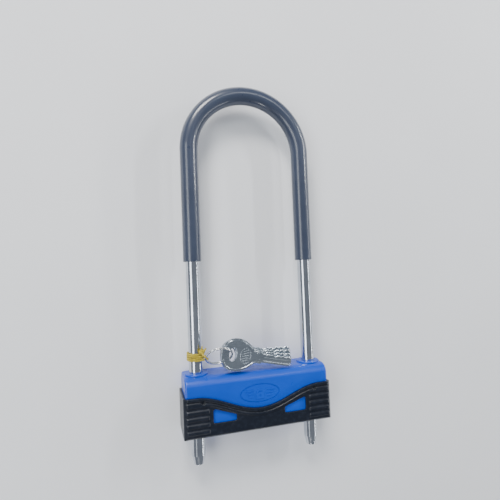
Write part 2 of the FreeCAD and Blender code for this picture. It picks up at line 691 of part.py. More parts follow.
def key_shape():
    """A key lying flat about its hole: bow with a raised rim, blade with two long grooves."""
    half = KEY_THICK / 2
    lift = V(0, 0, KEY_THICK)
    bow = Part.Face(key_outline()).extrude(lift)
    spare = 0.1
    field = Part.Face(key_outline(KEY_RIM)).extrude(V(0, 0, KEY_FIELD_DEPTH + spare))
    low, high = field.copy(), field
    low.translate(V(0, 0, -spare))
    high.translate(V(0, 0, KEY_THICK - KEY_FIELD_DEPTH))
    bow = bow.cut([low, high])
    start = BOW_W - HOLE_IN - 1.0
    end = start + 1.0 + BLADE_L
    tip_x = end - 3.2
    w = BLADE_W / 2
    outline = [(start, -w), (tip_x, -w), (end, -w * 0.45), (end, w * 0.45), (tip_x, w), (start, w)]
    blade = prism_z(outline, 0, KEY_THICK)
    stop = box(start, start + 3.0, -w - KEY_SHOULDER, w + KEY_SHOULDER, 0, KEY_THICK)
    whole = joined([bow, blade, stop])
    for y in (-1.7, 1.5):
        floor = KEY_THICK - KEY_GROOVE_DEPTH
        groove = box(start + 5, end + 1, y - 0.55, y + 0.55, floor, KEY_THICK + 1)
        under = box(start + 5, end + 1, -y - 0.55, -y + 0.55, -1, KEY_GROOVE_DEPTH)
        whole = whole.cut([groove, under])
    for k, depth in enumerate(KEY_BITES):
        x = start + 9.5 + KEY_BITE_PITCH * k
        bite = [(x - 1.9, w + 1), (x - 0.6, w - depth), (x + 0.6, w - depth), (x + 1.9, w + 1)]
        whole = whole.cut(prism_z(bite, -1, KEY_THICK + 1))
    hole = box(-HOLE_W / 2, HOLE_W / 2, -HOLE_H / 2, HOLE_H / 2, -1, KEY_THICK + 1)
    hole = round_edges(hole, 2.2, lambda e: along(e, Z_DIR))
    whole = whole.cut(hole)
    whole.translate(V(0, 0, -half))
    return whole


def key(index):
    shape = key_shape()
    shape.rotate(V(0, 0, 0), Z_DIR, KEY_FAN[index])
    shape.translate(key_hole_place(index))
    return shape


def key_ring():
    """A split ring: two turns of wire side by side, made as one band with a groove."""
    turns = []
    for side in (-0.5, 0.5):
        turns.append(Part.makeTorus(RING_R, RING_WIRE_R, V(0, 0, side * RING_TURN_GAP), Z_DIR))
    ring = joined(turns)
    ring.rotate(V(0, 0, 0), X_DIR, RING_TILT)
    ring.translate(RING_AT)
    return ring


def string_tie():
    """A knotted string: four turns round the leg and a loop that holds the ring."""
    leg = V(-LEG_X, RING_AT.y, AXIS_Z)
    wire_point = RING_AT - V(RING_R, 0, 0)
    towards_leg = V(leg.x - wire_point.x, 0, leg.z - wire_point.z)
    towards_leg.normalize()
    turns = []
    for place in (-1.5, -0.5, 0.5, 1.5):
        centre = leg + V(0, place * TIE_PITCH, 0)
        turns.append(Part.makeTorus(ROD_R + FIT_GAP + TIE_R, TIE_R, centre, Y_DIR))
    wire_way = ring_direction()
    normal = wire_way - towards_leg * wire_way.dot(towards_leg)
    loop_at = wire_point + towards_leg * TIE_LOOP_OFF
    loop = Part.makeTorus(TIE_LOOP_R, TIE_LOOP_WIRE_R, loop_at, normal)
    knot = Part.makeSphere(TIE_KNOT_R, leg - towards_leg * (ROD_R + 1.5) + V(0, 3.6, 0))
    whole = loop.fuse(turns + [knot])
    return whole.cut(rod_y(ROD_R + FIT_GAP, leg.x, leg.z, leg.y - 9, leg.y + 9)).removeSplitter()


# ---- all nodes ----------------------------------------------------------------------------
def nodes():
    made = {
        "shackle": shackle(),
        "shackle_sleeve": sleeve(),
        "casing_front": casing_front(),
        "casing_back": casing_back(),
        "casing_screws": casing_screws(),
        "bumper": bumper(),
        "lock_body": lock_body(),
        "body_cover": body_cover(),
        "cover_screws": cover_screws(),
        "cylinder_lock_pin": cylinder_lock_pin(),
        "cylinder_housing": cylinder_housing(),
        "cylinder_plug": plug(),
        "key_pins": key_pins(),
        "driver_pins": driver_pins(),
        "tumbler_springs": tumbler_springs(),
        "plug_clip": plug_clip(),
        "cam_disc": cam_disc(),
        "dust_cover": dust_cover(),
        "dust_cover_rivet": cover_rivet(),
        "key_ring": key_ring(),
        "string_tie": string_tie(),
    }
    for name, side in SIDES:
        made[f"leg_guide_top_{name}"] = leg_guide(side, True)
        made[f"leg_guide_bottom_{name}"] = leg_guide(side, False)
        made[f"bolt_{name}"] = bolt(side)
        made[f"follower_pin_{name}"] = follower_pin(side)
    for index in range(KEY_COUNT):
        made[f"key_{index + 1}"] = key(index)
    return made


def main():
    os.makedirs("parts", exist_ok=True)
    for name, shape in nodes().items():
        shape.exportStep(f"parts/{name}.step")
        solids = shape.Solids
        print(f"{name:24s} solids {len(solids)} volume {shape.Volume:10.1f} valid {shape.isValid()}")


main()
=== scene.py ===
"""The looks of the U lock: its materials, sleeve, bumper, keys, split ring and string tie.

Everything is in metres in the part's own frame: the lock lies on the back of its crossbar,
+Z is out of the crossbar's front, +Y runs along the legs to the bend and +X is to the right.
"""
import json
import math
import random

import bmesh
import bpy
from mathutils import Matrix, Vector


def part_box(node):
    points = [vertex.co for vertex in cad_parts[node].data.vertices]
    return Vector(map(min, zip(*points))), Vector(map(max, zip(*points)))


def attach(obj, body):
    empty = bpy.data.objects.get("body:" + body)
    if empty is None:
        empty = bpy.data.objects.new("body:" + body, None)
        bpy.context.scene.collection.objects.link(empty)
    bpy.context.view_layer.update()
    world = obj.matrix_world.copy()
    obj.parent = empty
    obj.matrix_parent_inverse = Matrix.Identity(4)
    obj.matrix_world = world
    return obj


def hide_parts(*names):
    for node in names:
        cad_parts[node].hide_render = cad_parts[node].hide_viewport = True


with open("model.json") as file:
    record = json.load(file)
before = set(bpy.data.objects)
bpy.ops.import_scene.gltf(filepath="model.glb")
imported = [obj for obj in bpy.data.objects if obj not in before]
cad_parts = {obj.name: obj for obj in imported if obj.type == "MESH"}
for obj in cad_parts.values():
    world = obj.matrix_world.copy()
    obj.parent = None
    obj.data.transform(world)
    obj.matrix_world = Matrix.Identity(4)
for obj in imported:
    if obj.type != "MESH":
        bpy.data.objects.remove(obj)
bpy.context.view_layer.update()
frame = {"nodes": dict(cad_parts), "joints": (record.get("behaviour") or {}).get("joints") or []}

MM = 0.001
X, Y, Z = Vector((1, 0, 0)), Vector((0, 1, 0)), Vector((0, 0, 1))

# places and sizes that come from the frame
SLEEVE_LOW, SLEEVE_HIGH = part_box("shackle_sleeve")
SLEEVE_R = (SLEEVE_HIGH.z - SLEEVE_LOW.z) / 2
LEG_X = SLEEVE_HIGH.x - SLEEVE_R
AXIS_Z = (SLEEVE_HIGH.z + SLEEVE_LOW.z) / 2
BEND_Y = SLEEVE_HIGH.y - SLEEVE_R - LEG_X
SLEEVE_STEP = 2.1 * MM  # the sleeve ends this much higher on the left leg
ROD_LOW, ROD_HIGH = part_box("shackle")
ROD_R = (ROD_HIGH.z - ROD_LOW.z) / 2
JOINTS = {joint["name"]: joint for joint in frame["joints"]}


# ---- camera, floor and light --------------------------------------------------------------
CAMERA_AT = Vector((-95.3, 4.8, 352.6)) * MM
CAMERA_RIGHT = Vector((0.9613, -0.0386, 0.2728))
CAMERA_UP = Vector((0.02845, 0.99875, 0.04107))
CAMERA_BACK = Vector((-0.27401, -0.03172, 0.96120))
CAMERA_LENS = 27.5


def add_camera():
    data = bpy.data.cameras.new("camera")
    data.lens, data.sensor_width = CAMERA_LENS, 36.0
    data.clip_start, data.clip_end = 0.01, 20.0
    camera = bpy.data.objects.new("camera", data)
    bpy.context.scene.collection.objects.link(camera)
    turn = Matrix((CAMERA_RIGHT, CAMERA_UP, CAMERA_BACK)).transposed()
    camera.rotation_mode = "QUATERNION"
    camera.rotation_quaternion = turn.to_quaternion()
    camera.location = CAMERA_AT
    bpy.context.scene.camera = camera


def area_light(name, at, target, width, length, power, colour=(1, 1, 1)):
    """A rectangular light that faces the target, its length as near to +Y as it can be."""
    data = bpy.data.lights.new(name, "AREA")
    data.shape, data.size, data.size_y = "RECTANGLE", width, length
    data.energy, data.color = power, colour
    lamp = bpy.data.objects.new(name, data)
    bpy.context.scene.collection.objects.link(lamp)
    lamp.location = at
    away = (Vector(at) - Vector(target)).normalized()
    along = (Y - away * away.y).normalized()
    lamp.rotation_mode = "QUATERNION"
    lamp.rotation_quaternion = Matrix((along.cross(away), along, away)).transposed().to_quaternion()


def add_studio():
    """Soft boxes and long strips round the lock, and a pale world."""
    middle, bend, foot = (0, -0.02, 0), (0, 0.50, 0), (0, -0.80, 0)
    cool, pale = (0.95, 0.98, 1.0), (0.97, 0.99, 1.0)
    area_light("key_softbox", (-0.35, 1.10, 0.78), middle, 0.55, 0.35, 17.0, (1.0, 0.98, 0.96))
    area_light("left_softbox", (-0.70, 0.0, 0.80), (0, 0, 0), 0.40, 1.0, 6.2, cool)
    area_light("foot_strip", (-0.70, -0.80, 0.80), foot, 0.16, 0.5, 0.25, cool)
    area_light("right_strip", (0.95, -0.20, 0.36), (0, -0.20, 0), 0.06, 1.6, 4.5, pale)
    area_light("low_strip", (-0.20, -1.00, 0.45), middle, 0.30, 0.07, 1.6)
    area_light("bend_strip", (0.87, 0.50, 0.54), bend, 0.035, 0.45, 4.2, pale)
    area_light("top_softbox", (0.33, 0.60, 0.95), middle, 0.30, 0.22, 1.2, cool)
    world = bpy.data.worlds.new("studio")
    world.use_nodes = True
    back = world.node_tree.nodes["Background"]
    back.inputs["Color"].default_value = (0.74, 0.79, 0.88, 1)
    back.inputs["Strength"].default_value = 0.32
    bpy.context.scene.world = world


# ---- node helpers -------------------------------------------------------------------------
class Surface:
    """One procedural material, built round a Principled shader."""

    def __init__(self, name, colour, roughness, metallic=0.0, **sockets):
        self.material = bpy.data.materials.new(name)
        self.material.use_nodes = True
        self.tree = self.material.node_tree
        self.shader = self.tree.nodes["Principled BSDF"]
        self.set("Base Color", (*colour, 1))
        self.set("Roughness", roughness)
        self.set("Metallic", metallic)
        for socket, value in sockets.items():
            self.set(socket.replace("_", " "), value)
        self.material.diffuse_color = (*colour, 1)
        self.coords = self.node("ShaderNodeTexCoord").outputs["Object"]
        self.height = None

    def node(self, kind, **settings):
        made = self.tree.nodes.new(kind)
        for name, value in settings.items():
            setattr(made, name, value)
        return made

    def set(self, socket, value):
        self.shader.inputs[socket].default_value = value

    def link(self, output, target):
        self.tree.links.new(output, target)

    def stretched(self, scale):
        """Object coordinates, scaled differently along each axis."""
        mapping = self.node("ShaderNodeMapping")
        mapping.inputs["Scale"].default_value = scale
        self.link(self.coords, mapping.inputs["Vector"])
        return mapping.outputs["Vector"]

    def noise(self, scale, detail=4.0, vector=None, roughness=0.55):
        made = self.node("ShaderNodeTexNoise")
        made.inputs["Scale"].default_value = scale
        made.inputs["Detail"].default_value = detail
        made.inputs["Roughness"].default_value = roughness
        self.link(vector or self.coords, made.inputs["Vector"])
        return made.outputs["Fac"]

    def cells(self, scale, vector=None):
        made = self.node("ShaderNodeTexVoronoi")
        made.inputs["Scale"].default_value = scale
        self.link(vector or self.coords, made.inputs["Vector"])
        return made.outputs["Distance"]

    def waves(self, scale, distortion, vector=None, direction="X"):
        made = self.node("ShaderNodeTexWave", bands_direction=direction)
        made.inputs["Scale"].default_value = scale
        made.inputs["Distortion"].default_value = distortion
        made.inputs["Detail"].default_value = 2.0
        self.link(vector or self.coords, made.inputs["Vector"])
        return made.outputs["Fac"]

    def ramp(self, source, *stops):
        """Colour stops as (place, colour)."""
        made = self.node("ShaderNodeValToRGB")
        points = made.color_ramp.elements
        while len(points) < len(stops):
            points.new(0.5)
        for point, (place, colour) in zip(points, stops):
            point.position = place
            point.color = (*colour, 1)
        self.link(source, made.inputs["Fac"])
        return made.outputs["Color"]

    def between(self, source, low, high, out_low, out_high):
        """The source's range from low to high, mapped onto another range."""
        made = self.node("ShaderNodeMapRange")
        values = {"From Min": low, "From Max": high, "To Min": out_low, "To Max": out_high}
        for socket, value in values.items():
            made.inputs[socket].default_value = value
        self.link(source, made.inputs["Value"])
        return made.outputs["Result"]

    def mixed(self, first, second):
        """Two textures in equal parts."""
        made = self.node("ShaderNodeMixRGB")
        made.inputs["Fac"].default_value = 0.5
        self.link(first, made.inputs["Color1"])
        self.link(second, made.inputs["Color2"])
        return made.outputs["Color"]

    def bump(self, source, distance, strength=1.0):
        """Adds a bump of the given real height over the bumps made before it."""
        made = self.node("ShaderNodeBump")
        made.inputs["Distance"].default_value = distance
        made.inputs["Strength"].default_value = strength
        self.link(source, made.inputs["Height"])
        if self.height:
            self.link(self.height, made.inputs["Normal"])
        self.height = made.outputs["Normal"]
        self.link(self.height, self.shader.inputs["Normal"])

    def colour_from(self, output):
        self.link(output, self.shader.inputs["Base Color"])

    def roughness_from(self, source, low, high, out_low, out_high):
        result = self.between(source, low, high, out_low, out_high)
        self.link(result, self.shader.inputs["Roughness"])


# ---- materials ----------------------------------------------------------------------------
def chrome_material():
    s = Surface("chrome_plate", (0.60, 0.63, 0.68), 0.12, metallic=1.0)
    streaks = s.noise(1.0, 5.0, s.stretched((900, 25, 900)))
    clouds = s.noise(60, 3.0)
    s.roughness_from(s.mixed(streaks, clouds), 0.3, 0.7, 0.07, 0.20)
    s.colour_from(s.ramp(clouds, (0.3, (0.53, 0.56, 0.61)), (0.7, (0.66, 0.69, 0.74))))
    s.bump(streaks, 0.000012)
    s.bump(s.noise(35, 2.0), 0.00006, 0.5)
    return s.material


def vinyl_material():
    s = Surface("sleeve_vinyl", (0.036, 0.046, 0.078), 0.3, Coat_Weight=0.5, Coat_Roughness=0.06)
    clouds = s.noise(28, 4.0)
    s.colour_from(s.ramp(clouds, (0.3, (0.032, 0.042, 0.072)), (0.72, (0.046, 0.060, 0.098))))
    s.roughness_from(s.noise(120, 4.0), 0.3, 0.7, 0.27, 0.36)
    s.bump(s.noise(2600, 2.0), 0.000006, 0.4)
    s.bump(s.noise(70, 3.0), 0.00008, 0.4)
    return s.material


def casing_material():
    s = Surface("blue_casing", (0.001, 0.066, 0.54), 0.34, Coat_Weight=0.1, Coat_Roughness=0.2)
    clouds = s.noise(22, 3.0)
    grain = s.cells(2200)
    s.colour_from(s.ramp(clouds, (0.25, (0.001, 0.058, 0.50)), (0.75, (0.002, 0.074, 0.58))))
    s.roughness_from(s.noise(140, 5.0), 0.3, 0.7, 0.27, 0.40)
    s.bump(grain, 0.00002, 0.35)
    s.bump(s.noise(45, 2.0), 0.00008, 0.4)
    return s.material


def bumper_material():
    s = Surface("bumper_plastic", (0.008, 0.010, 0.018), 0.4, Specular_IOR_Level=0.4)
    dust = s.noise(320, 6.0, roughness=0.7)
    s.colour_from(s.ramp(dust, (0.48, (0.006, 0.009, 0.017)), (0.80, (0.020, 0.025, 0.040))))
    s.roughness_from(s.noise(70, 4.0), 0.3, 0.7, 0.28, 0.40)
    s.bump(s.cells(1500), 0.00004, 0.5)
    s.bump(s.noise(900, 3.0), 0.00003, 0.6)
    return s.material


def nickel_material():
    s = Surface("key_nickel", (0.48, 0.52, 0.57), 0.3, metallic=1.0)
    brushed = s.noise(1.0, 6.0, s.stretched((160, 2400, 900)))
    clouds = s.noise(55, 4.0)
    s.colour_from(s.ramp(clouds, (0.28, (0.40, 0.45, 0.50)), (0.7, (0.54, 0.60, 0.66))))
    s.roughness_from(brushed, 0.3, 0.7, 0.22, 0.34)
    s.bump(brushed, 0.000008, 0.5)
    s.bump(s.noise(260, 3.0), 0.00002, 0.3)
    return s.material


def wire_material():
    s = Surface("ring_wire", (0.70, 0.71, 0.72), 0.2, metallic=1.0)
    clouds = s.noise(300, 4.0)
    s.colour_from(s.ramp(clouds, (0.3, (0.55, 0.57, 0.58)), (0.7, (0.80, 0.81, 0.82))))
    s.roughness_from(s.noise(900, 4.0), 0.3, 0.7, 0.14, 0.30)
    s.bump(s.noise(1800, 3.0), 0.00001, 0.6)
    return s.material


def string_material():
    s = Surface("yellow_string", (0.52, 0.42, 0.03), 0.62, Sheen_Weight=0.4, Sheen_Roughness=0.5)
    fibre_bump_and_shade = s.noise(5200, 4.0, roughness=0.7)
    clouds = s.noise(400, 3.0)
    # Colour: the string's own patchy tone from the clouds, plus painted shade where the fibre bump
    # sinks, since the same noise darkens the recesses
    mixed = s.mixed(fibre_bump_and_shade, clouds)
    s.colour_from(s.ramp(mixed, (0.32, (0.28, 0.20, 0.0)), (0.66, (0.68, 0.54, 0.01))))
    s.bump(fibre_bump_and_shade, 0.00008, 0.9)
    return s.material


def zinc_material():
    s = Surface("zinc_steel", (0.55, 0.56, 0.57), 0.34, metallic=1.0)
    spangle = s.cells(500)
    s.colour_from(s.ramp(spangle, (0.1, (0.48, 0.49, 0.51)), (0.7, (0.66, 0.67, 0.68))))
    s.roughness_from(s.noise(800, 4.0), 0.3, 0.7, 0.26, 0.46)
    s.bump(s.noise(1500, 3.0), 0.00002, 0.6)
    return s.material


def cast_material():
    s = Surface("cast_zinc", (0.36, 0.36, 0.37), 0.5, metallic=0.9)
    pits = s.cells(900)
    s.colour_from(s.ramp(s.noise(90, 4.0), (0.3, (0.29, 0.29, 0.30)), (0.7, (0.43, 0.43, 0.44))))
    s.roughness_from(pits, 0.1, 0.8, 0.58, 0.42)
    s.bump(pits, 0.00008, 0.7)
    return s.material


def brass_material():
    s = Surface("turned_brass", (0.72, 0.52, 0.20), 0.28, metallic=1.0)
    turned = s.waves(520, 0.6, direction="Y")
    s.colour_from(s.ramp(s.noise(140, 4.0), (0.3, (0.60, 0.42, 0.15)), (0.7, (0.80, 0.60, 0.26))))
    s.roughness_from(s.noise(600, 4.0), 0.3, 0.7, 0.20, 0.38)
    s.bump(turned, 0.00001, 0.7)
    return s.material


def flap_material():
    s = Surface("flap_plastic", (0.016, 0.017, 0.021), 0.45)
    dust = s.noise(250, 5.0)
    s.colour_from(s.ramp(dust, (0.4, (0.013, 0.014, 0.018)), (0.8, (0.034, 0.035, 0.041))))
    s.roughness_from(s.noise(120, 4.0), 0.3, 0.7, 0.38, 0.54)
    s.bump(s.cells(1800), 0.00005, 0.6)
    return s.material


def floor_material():
    s = Surface("floor_sheet", (0.82, 0.83, 0.85), 0.75)
    s.colour_from(s.ramp(s.noise(6, 3.0), (0.3, (0.86, 0.87, 0.89)), (0.7, (0.89, 0.90, 0.92))))
    s.bump(s.noise(350, 3.0), 0.00005, 0.3)
    return s.material


# ---- mesh helpers -------------------------------------------------------------------------
def new_piece(name, verts, faces, material, body):
    """A mesh object with outward normals that rides on a body."""
    mesh = bpy.data.meshes.new(name)
    mesh.from_pydata([tuple(v) for v in verts], [], faces)
    tidy = bmesh.new()
    tidy.from_mesh(mesh)
    bmesh.ops.remove_doubles(tidy, verts=tidy.verts, dist=1e-7)
    bmesh.ops.recalc_face_normals(tidy, faces=tidy.faces)
    tidy.to_mesh(mesh)
    tidy.free()
    return piece_from_mesh(name, mesh, material, body)


def piece_from_mesh(name, mesh, material, body):
    """A smooth-shaded object of one material that rides on a body."""
    piece = bpy.data.objects.new(name, mesh)
    bpy.context.scene.collection.objects.link(piece)
    mesh.materials.clear()
    mesh.materials.append(material)
    for polygon in mesh.polygons:
        polygon.use_smooth = True
    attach(piece, body)
    return piece


def baked(obj):
    """The object's mesh with its modifiers or curve bevel applied; the object goes."""
    graph = bpy.context.evaluated_depsgraph_get()
    mesh = bpy.data.meshes.new_from_object(obj.evaluated_get(graph))
    mesh.transform(obj.matrix_world)
    bpy.data.objects.remove(obj)
    return mesh


def frames_along(points):
    """(point, side, up) at each point, turned as little as possible from one to the next."""
    frames, side = [], None
    for k, point in enumerate(points):
        before = points[max(k - 1, 0)]
        after = points[min(k + 1, len(points) - 1)]
        ahead = (after - before).normalized()
        if side is None:
            helper = Z if abs(ahead.z) < 0.9 else X
            side = ahead.cross(helper).normalized()
        side = (side - ahead * side.dot(ahead)).normalized()
        frames.append((point, side, ahead.cross(side)))
    return frames


def tube(points, radius, sides=16):
    """Verts and faces of a tube; radius is a number or a function of the share of the length."""
    verts, faces = [], []
    rows = frames_along(points)
    for k, (point, side, up) in enumerate(rows):
        r = radius(k / (len(rows) - 1)) if callable(radius) else radius
        for j in range(sides):
            a = 2 * math.pi * j / sides
            verts.append(point + side * (r * math.cos(a)) + up * (r * math.sin(a)))
    for k in range(len(rows) - 1):
        for j in range(sides):
            n = (j + 1) % sides
            faces.append((k * sides + j, k * sides + n, (k + 1) * sides + n, (k + 1) * sides + j))
    faces.append(tuple(range(sides))[::-1])
    faces.append(tuple((len(rows) - 1) * sides + j for j in range(sides)))
    return verts, faces


def smooth_path(points, steps=10):
    """A Catmull-Rom curve through the points."""
    ends = [points[0] * 2 - points[1]] + list(points) + [points[-1] * 2 - points[-2]]
    path = []
    for k in range(1, len(ends) - 2):
        a, b, c, d = ends[k - 1 : k + 3]
        for step in range(steps):
            t = step / steps
            path.append(
                0.5 * (2 * b + (c - a) * t + (2 * a - 5 * b + 4 * c - d) * t * t
                       + (3 * b - a - 3 * c + d) * t ** 3)
            )
    return path + [points[-1]]


def merged(parts):
    """Several (verts, faces) as one."""
    verts, faces = [], []
    for part_verts, part_faces in parts:
        start = len(verts)
        verts += part_verts
        faces += [tuple(start + i for i in face) for face in part_faces]
    return verts, faces


# ---- sleeve -------------------------------------------------------------------------------
def u_path(left_end, right_end, step):
    """Points up the left leg, round the bend and down the right leg."""

    def leg(x, end_y):
        count = int((BEND_Y - end_y) / step)
        return [Vector((x, end_y + (BEND_Y - end_y) * k / count, AXIS_Z)) for k in range(count)]

    turns = int(math.pi * LEG_X / step)
    bend = []
    for k in range(turns + 1):
        a = math.pi * (1 - k / turns)
        bend.append(Vector((LEG_X * math.cos(a), BEND_Y + LEG_X * math.sin(a), AXIS_Z)))
    return leg(-LEG_X, left_end) + bend + leg(LEG_X, right_end)[::-1]


def make_sleeve(material):
    """A vinyl sleeve with soft cut ends, a little uneven along its length."""
    sides, soft, inner = 56, 0.7 * MM, ROD_R + 0.05 * MM
    rows = frames_along(u_path(SLEEVE_LOW.y + SLEEVE_STEP, SLEEVE_LOW.y, 1.6 * MM))
    soft_end = []
    for step in range(6):
        a = math.pi / 2 * step / 5
        soft_end.append((soft * (1 - math.cos(a)), SLEEVE_R - soft * (1 - math.sin(a))))

    def end_rings(row):
        point, side, up = row
        rounded = [(point + Y * back, side, up, r) for back, r in soft_end]
        return [(point, side, up, inner)] + rounded

    rings = end_rings(rows[0])
    for k, (point, side, up) in enumerate(rows[1:-1]):
        uneven = 0.025 * MM * math.sin(k * 0.21) + 0.02 * MM * math.sin(k * 0.083 + 1)
        rings.append((point, side, up, SLEEVE_R - 0.06 * MM + uneven))
    rings += end_rings(rows[-1])[::-1]
    rings += [(point, side, up, inner) for point, side, up in rows[-7:1:-6]]

    verts, faces = [], []
    for point, side, up, r in rings:
        for j in range(sides):
            a = 2 * math.pi * j / sides
            verts.append(point + side * (r * math.cos(a)) + up * (r * math.sin(a)))
    for k in range(len(rings)):
        n = (k + 1) % len(rings)
        for j in range(sides):
            m = (j + 1) % sides
            faces.append((k * sides + j, k * sides + m, n * sides + m, n * sides + j))
    piece = new_piece("sleeve", verts, faces, material, "shackle")
    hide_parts("shackle_sleeve")


# ---- bumper -------------------------------------------------------------------------------
def softened(node, name, voxel, rounds, material, body):
    """A CAD node's shape with moulded, rounded edges, in place of the node."""
    start = bpy.data.objects.new(name + "_start", frame["nodes"][node].data.copy())
    bpy.context.scene.collection.objects.link(start)
    remesh = start.modifiers.new("remesh", "REMESH")
    remesh.mode, remesh.voxel_size = "VOXEL", voxel
    soften = start.modifiers.new("soften", "SMOOTH")
    soften.factor, soften.iterations = 0.5, rounds
    piece = piece_from_mesh(name, baked(start), material, body)
    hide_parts(node)
    return piece


# ---- keys ---------------------------------------------------------------------------------
KEY_FAN = {"key_1": -1.0, "key_2": -5.0, "key_3": -9.0, "key_4": -13.0}
KEY_THICK = 1.8 * MM
BOW_LEFT, FIELD_X = -10.0 * MM, 11.2 * MM
BLADE_START, BLADE_END, BLADE_HALF = 20.5 * MM, 54.0 * MM, 4.1 * MM
MILLED_FROM = 27 * MM  # the grooves and the cuts start here
SHOULDER = (21.5 * MM, 26.5 * MM)
SHOULDER_HIGH = 1.1 * MM
NOSE = 3.2 * MM
BITES = ((0.10, 1.1), (0.27, 0.6), (0.44, 1.3), (0.61, 0.8), (0.78, 1.0))
BLADE_GROOVES = ((-1.75, 0.45), (1.3, 0.27))  # middle and depth in mm, seen from either face


def bow_outline(inset=0.0):
    """Points of the bow's outline, its neck on the right."""
    top = [
        (-9.2, 5.8), (-5.5, 11.3), (1.0, 13.7), (8.5, 13.0), (15.0, 9.6), (19.5, 5.9), (23.0, 4.3),
    ]
    half = [Vector((x * MM, y * MM, 0)) for x, y in top]
    low = [Vector((p.x, -p.y, 0)) for p in reversed(half)]
    ring = [Vector((BOW_LEFT, 0, 0))] + half + low
    centre = Vector((4.5 * MM, 0, 0))
    return [p + (centre - p).normalized() * inset for p in ring]


def oval(centre, half_w, half_h, count=20):
    """Points round an ellipse in the plane z = 0."""
    return [
        Vector((centre[0] + half_w * math.cos(2 * math.pi * k / count),
                centre[1] + half_h * math.sin(2 * math.pi * k / count), 0))
        for k in range(count)
    ]


def plate(loops, thickness, edge):
    """A flat plate with holes and rounded edges, centred on z = 0, as a mesh."""
    data = bpy.data.curves.new("plate", "CURVE")
    data.dimensions, data.fill_mode = "2D", "BOTH"
    data.resolution_u = 6
    data.extrude, data.bevel_depth, data.bevel_resolution = thickness / 2 - edge, edge, 3
    data.offset = -edge
    for points in loops:
        spline = data.splines.new("BEZIER")
        spline.bezier_points.add(len(points) - 1)
        for knot, point in zip(spline.bezier_points, points):
            knot.co = point
            knot.handle_left_type = knot.handle_right_type = "AUTO"
        spline.use_cyclic_u = True
    obj = bpy.data.objects.new("plate", data)
    bpy.context.scene.collection.objects.link(obj)
    return baked(obj)


def face_drop(y, to_edge, milled):
    """How far the blade's face lies below its full thickness: rounded edges and grooves."""
    drop = 0.32 * MM * max(0.0, 1 - to_edge / (0.6 * MM)) ** 1.5
    for centre, deep in BLADE_GROOVES:
        wall = (1.0 * MM - abs(y - centre * MM)) / (0.8 * MM)
        drop += milled * deep * MM * max(0.0, min(1.0, wall))
    return drop


def cut_depth(share):
    """Depth of the cuts at a share of the way along the milled part of the blade."""
    depth = 0.0
    for place, deep in BITES:
        near = max(0.0, abs(share - place) - 0.014)
        depth = max(depth, deep * MM * max(0.0, 1 - near / 0.055))
    return depth


def blade_edges(x):
    """(low, high) edge of the blade at x: the shoulder, the cuts and the blunt nose."""
    nose = nose_share(x)
    cut = cut_depth((x - MILLED_FROM) / (BLADE_END - MILLED_FROM))
    high = BLADE_HALF - cut - nose * nose * 2.0 * MM
    low = -BLADE_HALF + nose * nose * 2.4 * MM
    if x < SHOULDER[1]:
        rise, fall = (x - SHOULDER[0]) / MM, (SHOULDER[1] - x) / (0.6 * MM)
        swell = SHOULDER_HIGH * min(1.0, max(0.0, rise), max(0.0, fall))
        high, low = high + swell, low - swell
    return low, high


def nose_share(x):
    return max(0.0, (x - (BLADE_END - NOSE)) / NOSE)


def key_blade():
    """The blade: straight milled grooves on each face, a row of cuts and a blunt tip."""
    stations, pitch, reach = 120, 0.2 * MM, BLADE_HALF + SHOULDER_HIGH
    columns = [-reach + pitch * j for j in range(int(2 * reach / pitch) + 1)]
    verts, faces = [], []
    for k in range(stations + 1):
        x = BLADE_START + (BLADE_END - BLADE_START) * k / stations
        low, high = blade_edges(x)
        milled = min(1.0, max(0.0, (x - MILLED_FROM) / (1.5 * MM)))
        thin = 1 - 0.35 * nose_share(x) ** 3
        neck = 0.12 * MM * max(0.0, min(1.0, (24.2 * MM - x) / MM))
        for face in (1, -1):
            for column in columns[::face]:
                y = min(high, max(low, column))
                lift = KEY_THICK / 2 - face_drop(y * face, min(y - low, high - y), milled)
                verts.append(Vector((x, y, face * (lift * thin - neck))))
    row = 2 * len(columns)
    for k in range(stations):
        for j in range(row):
            n = (j + 1) % row
            faces.append((k * row + j, k * row + n, (k + 1) * row + n, (k + 1) * row + j))
    faces.append(tuple(range(row))[::-1])
    faces.append(tuple(stations * row + j for j in range(row)))
    return verts, faces


def mesh_parts(mesh):
    """A mesh as (verts, faces)."""
    return [v.co.copy() for v in mesh.vertices], [tuple(p.vertices) for p in mesh.polygons]


def on_face(points, face, sunk):
    """The points on one face of the key, sunk a little into it."""
    return [Vector((p.x, p.y, face * (KEY_THICK / 2 - sunk))) for p in points]


def key_parts():
    """Bow, rim, badge field with a plain pattern and blade, all about the hole's centre."""
    hole = oval((0, 0), 3.2 * MM, 6.0 * MM)
    bow = plate([bow_outline(), hole], KEY_THICK, 0.28 * MM)
    parts = [mesh_parts(bow), key_blade()]
    rim = smooth_path(bow_outline(1.5 * MM)[1:8], 8)
    field = oval((FIELD_X, 0), 4.6 * MM, 6.6 * MM, 28)
    for face in (1, -1):
        for flip in (1, -1):
            line = [Vector((p.x, p.y * flip, 0)) for p in rim]
            parts.append(tube(on_face(line, face, 0.12 * MM), 0.36 * MM, 10))
        parts.append(tube(on_face(field + field[:1], face, 0.06 * MM), 0.24 * MM, 8))
        for step in range(-2, 3):
            y = step * 2.1 * MM
            reach = 2.9 * MM * math.sqrt(max(0.1, 1 - (y / (6.2 * MM)) ** 2))
            bar = [Vector((FIELD_X + reach * f, y + 0.8 * MM * f, 0)) for f in (-1, 0, 1)]
            parts.append(tube(on_face(bar, face, 0.06 * MM), 0.3 * MM, 8))
    return merged(parts)


def make_keys(material):
    """The same key four times, each on its hinge at its own place in the fan."""
    verts, faces = key_parts()
    for name, fan in KEY_FAN.items():
        hinge = Vector(JOINTS[name + "_swing"]["pos_m"])
        place = Matrix.Translation(hinge) @ Matrix.Rotation(math.radians(fan), 4, "Z")
        placed = [place @ v for v in verts]
        piece = new_piece(name + "_cut", placed, faces, material, name)
        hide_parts(name)
        keep_sharp(piece, 35)


